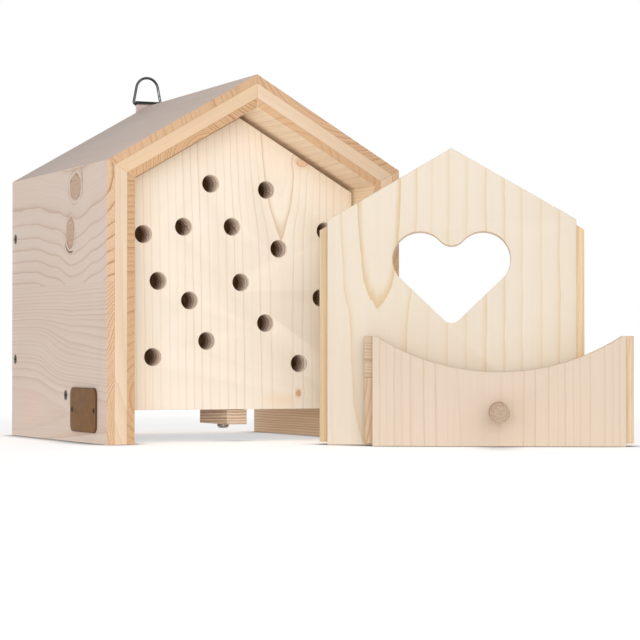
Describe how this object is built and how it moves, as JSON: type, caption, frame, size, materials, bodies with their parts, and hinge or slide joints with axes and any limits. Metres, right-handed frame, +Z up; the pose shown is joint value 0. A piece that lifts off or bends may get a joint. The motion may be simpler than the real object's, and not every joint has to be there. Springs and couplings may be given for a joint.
{
  "type": "ladybug house",
  "caption": "Pentagonal wooden ladybug house with a drilled pull-out front, a turn block and a hanging ring, and loose exchange fronts with a heart and with a scooped top and perch.",
  "frame": {"origin": "middle of the footprint of the whole set, house and loose fronts together, on the ground", "axes": "+Z up, +Y from the house's open front to its back, +X to the right as seen from the front"},
  "size_m": [0.3058, 0.3934, 0.2666],
  "materials": {
    "shell_wood": "planed and unfinished, greyish beige",
    "front_wood": "planed and unfinished, pale cream",
    "loose_wood": "planed and unfinished, cream",
    "strip_wood": "sawn, tan",
    "block_wood": "sawn layered wood",
    "perch_wood": "turned smooth",
    "screw_steel": "zinc plated",
    "hanger_steel": "nickel plated",
    "label_leather": "smooth, darker cut edge",
    "pin_metal": "browned"
  },
  "bodies": {
    "house": {"left_wall": "shell_wood", "right_wall": "shell_wood", "left_roof": "shell_wood", "right_roof": "shell_wood", "back_wall": "shell_wood", "floor_board": "shell_wood", "back_wall_screws": "screw_steel", "floor_screws": "screw_steel", "turn_block_screw": "screw_steel", "hanger_strap": "hanger_steel", "hanger_screws": "screw_steel", "label_patch": "label_leather", "label_pins": "pin_metal"},
    "drilled_front": {"drilled_panel": "front_wood", "drilled_left_strip": "strip_wood", "drilled_right_strip": "strip_wood"},
    "turn_block": {"turn_block": "block_wood"},
    "ring": {"hanger_ring": "hanger_steel"},
    "heart_front": {"heart_panel": "loose_wood", "heart_left_strip": "strip_wood", "heart_right_strip": "strip_wood"},
    "half_front": {"half_panel": "loose_wood", "half_left_strip": "strip_wood", "half_right_strip": "strip_wood", "perch_dowel": "perch_wood"}
  },
  "joints": [
    {"name": "drilled_front_slide", "type": "slide", "parent": "house", "child": "drilled_front", "axis": [0, -1, 0], "range_m": [0, 0.06]},
    {"name": "turn_block_turn", "type": "hinge", "parent": "house", "child": "turn_block", "pos_m": [-0.04582, 0.04234, 0.016], "axis": [0, 0, 1], "continuous": true},
    {"name": "ring_swing", "type": "hinge", "parent": "house", "child": "ring", "pos_m": [-0.04582, 0.19442, 0.24582], "axis": [1, 0, 0], "range_deg": [-166, 90]},
    {"name": "heart_front_lift", "type": "slide", "parent": "house", "child": "heart_front", "axis": [0, 0, 1], "range_m": [0, 0.2]},
    {"name": "half_front_lift", "type": "slide", "parent": "house", "child": "half_front", "axis": [0, 0, 1], "range_m": [0, 0.1]}
  ]
}
